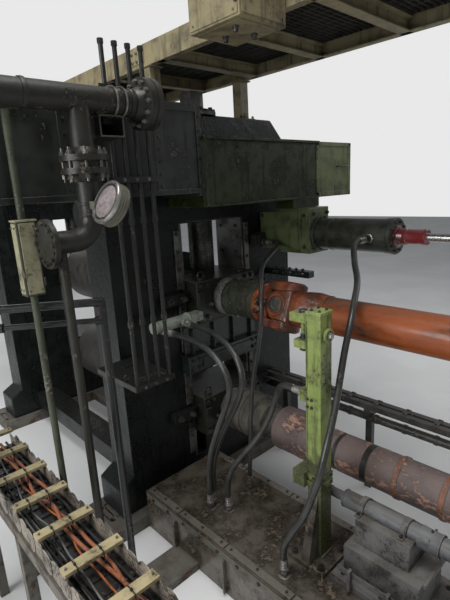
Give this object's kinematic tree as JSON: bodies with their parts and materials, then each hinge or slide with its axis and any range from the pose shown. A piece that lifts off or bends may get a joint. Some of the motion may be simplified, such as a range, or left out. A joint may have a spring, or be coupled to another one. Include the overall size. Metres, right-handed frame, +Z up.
{
  "type": "two-high rolling mill stand with its drive spindles",
  "caption": "Rolling mill stand with two housings, a pair of rolls in chocks, cardan drive spindles, cover box, services and walkway.",
  "frame": {"origin": "floor level at the centre of the stand, midway between the two housings and under the roll axes", "axes": "+Z up, +Y along the roll axes towards the far side (the drive is at -Y), +X along the rolling direction"},
  "size_m": [3.935, 5.57, 4.1],
  "materials": {
    "casting": "oily and dark",
    "base_steel": "dirty",
    "worn_steel": "worn",
    "roll_steel": "worn",
    "chock_paint": "greasy",
    "teal_paint": "greasy",
    "dark_steel": "greasy",
    "orange_paint": "worn gloss",
    "rusty_tube": "rusty",
    "girder_paint": "dirty",
    "cover_paint": "satin, dirty",
    "cylinder_paint": "satin",
    "red_paint": "gloss",
    "stub_paint": "worn",
    "lime_paint": "chipped",
    "rail_steel": "dirty",
    "header_paint": "dirty",
    "pole_paint": "dirty",
    "lamp_metal": "dusty",
    "chain_steel": "worn",
    "beige_paint": "dusty",
    "hose_rubber": "oily"
  },
  "bodies": {
    "stand": {"sole_frame": "base_steel", "housing_ds": "casting", "housing_os": "casting", "housing_ties": "casting", "liners": "worn_steel", "chock_rests": "casting", "chock_top_ds": "chock_paint", "chock_top_os": "chock_paint", "chock_bottom_ds": "chock_paint", "chock_bottom_os": "chock_paint", "adjusting_screws": "worn_steel", "keepers": "casting", "window_beam": "teal_paint", "seal_rings": "worn_steel", "girder": "girder_paint", "cover_strip": "girder_paint", "cover_box": "cover_paint", "cover_end": "cover_paint", "bracket_block": "cover_paint", "shift_cylinder": "cylinder_paint", "shift_rod": "red_paint", "latch_block": "dark_steel", "slotted_bar": "teal_paint", "hose_stub": "stub_paint", "support_post": "lime_paint", "post_foot": "base_steel", "pedestal": "cylinder_paint", "ram": "cylinder_paint", "bed": "base_steel", "side_rails": "rail_steel", "water_header": "header_paint", "small_pipes": "rail_steel", "pipe_clamps": "rail_steel", "guard_rail": "rail_steel", "pole": "pole_paint", "floodlight": "lamp_metal", "cable_chain": "chain_steel", "chain_crossbars": "chain_steel", "chain_trough": "base_steel", "walkway": "beige_paint", "junction_box": "beige_paint", "hose_a": "hose_rubber", "hose_b": "hose_rubber", "loop_hose": "hose_rubber", "feed_hose": "hose_rubber", "drain_hose": "hose_rubber"},
    "top_line": {"roll_top": "roll_steel", "hub_top": "dark_steel", "flange_yoke": "orange_paint", "joint_cross": "dark_steel", "tube_yoke": "orange_paint", "spindle_top": "orange_paint"},
    "bottom_line": {"roll_bottom": "roll_steel", "coupling_bottom": "dark_steel", "spindle_bottom": "rusty_tube"}
  },
  "joints": [
    {"name": "top_spin", "type": "hinge", "parent": "stand", "child": "top_line", "pos_m": [0, 0, 1.82], "axis": [0, 1, 0], "continuous": true},
    {"name": "bottom_spin", "type": "hinge", "parent": "stand", "child": "bottom_line", "pos_m": [0, 0, 0.76], "axis": [0, 1, 0], "continuous": true}
  ],
  "couplings": [
    {"joint": "bottom_spin", "follows": "top_spin", "ratio": -1}
  ]
}
